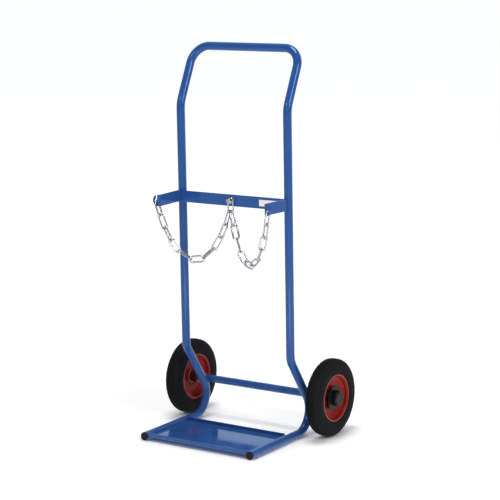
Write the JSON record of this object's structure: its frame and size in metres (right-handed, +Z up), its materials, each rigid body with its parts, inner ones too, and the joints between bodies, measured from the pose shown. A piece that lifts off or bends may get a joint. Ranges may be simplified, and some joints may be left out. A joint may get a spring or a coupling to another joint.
{
  "type": "gas cylinder cart",
  "caption": "Two-wheeled hand cart for gas cylinders: bent tube frame with leaning handle, folded toe plate, cross band with slotted ears and hanging chains, rubber tyres on pressed rims.",
  "frame": {"origin": "on the floor, at the middle of the part's box", "axes": "+Z up, -Y to the front where the toe plate lies, +X to the right side of a person who faces the front, along the axle"},
  "size_m": [0.619, 0.486, 1.249],
  "materials": {
    "blue_paint": "glossy blue powder coat",
    "red_paint": "satin red paint",
    "rubber": "matt black rubber",
    "zinc": "bright zinc plating",
    "black_plastic": "satin black plastic",
    "bush": "plain bearing metal"
  },
  "bodies": {
    "frame": {"frame_tube": "blue_paint", "foot_cap_left": "black_plastic", "foot_cap_right": "black_plastic", "toe_plate": "blue_paint", "cross_band": "blue_paint", "axle_tube": "blue_paint", "axle": "zinc", "washer_inner_left": "zinc", "washer_inner_right": "zinc", "washer_outer_left": "zinc", "washer_outer_right": "zinc", "axle_clip_left": "zinc", "axle_clip_right": "zinc", "centre_bolt": "zinc", "bolt_washer_front": "zinc", "bolt_washer_rear": "zinc", "centre_nut": "zinc", "centre_link": "zinc", "chain_left_link_01": "zinc", "chain_right_link_01": "zinc"},
    "left_wheel": {"tyre_left": "rubber", "rim_outer_left": "red_paint", "rim_inner_left": "red_paint", "hub_left": "red_paint", "bush_outer_left": "bush", "bush_inner_left": "bush", "hub_cap_left": "black_plastic"},
    "right_wheel": {"tyre_right": "rubber", "rim_outer_right": "red_paint", "rim_inner_right": "red_paint", "hub_right": "red_paint", "bush_outer_right": "bush", "bush_inner_right": "bush", "hub_cap_right": "black_plastic"},
    "left_chain": {"chain_left_link_02": "zinc", "chain_left_link_03": "zinc", "chain_left_link_04": "zinc", "chain_left_link_05": "zinc", "chain_left_link_06": "zinc", "chain_left_link_07": "zinc", "chain_left_link_08": "zinc", "chain_left_link_09": "zinc", "chain_left_link_10": "zinc"},
    "right_chain": {"chain_right_link_02": "zinc", "chain_right_link_03": "zinc", "chain_right_link_04": "zinc", "chain_right_link_05": "zinc", "chain_right_link_06": "zinc", "chain_right_link_07": "zinc", "chain_right_link_08": "zinc", "chain_right_link_09": "zinc", "chain_right_link_10": "zinc"}
  },
  "joints": [
    {"name": "left_wheel_spin", "type": "hinge", "parent": "frame", "child": "left_wheel", "pos_m": [-0.274, 0.118, 0.125], "axis": [1, 0, 0], "continuous": true},
    {"name": "right_wheel_spin", "type": "hinge", "parent": "frame", "child": "right_wheel", "pos_m": [0.274, 0.118, 0.125], "axis": [1, 0, 0], "continuous": true},
    {"name": "left_chain_swing", "type": "hinge", "parent": "frame", "child": "left_chain", "pos_m": [-0.20264, -0.12734, 0.71618], "axis": [0.8908, 0.4513, 0.0526], "range_deg": [-11, 29]},
    {"name": "right_chain_swing", "type": "hinge", "parent": "frame", "child": "right_chain", "pos_m": [0.20262, -0.12737, 0.71617], "axis": [0.8908, -0.4514, -0.0526], "range_deg": [-11, 29]}
  ]
}
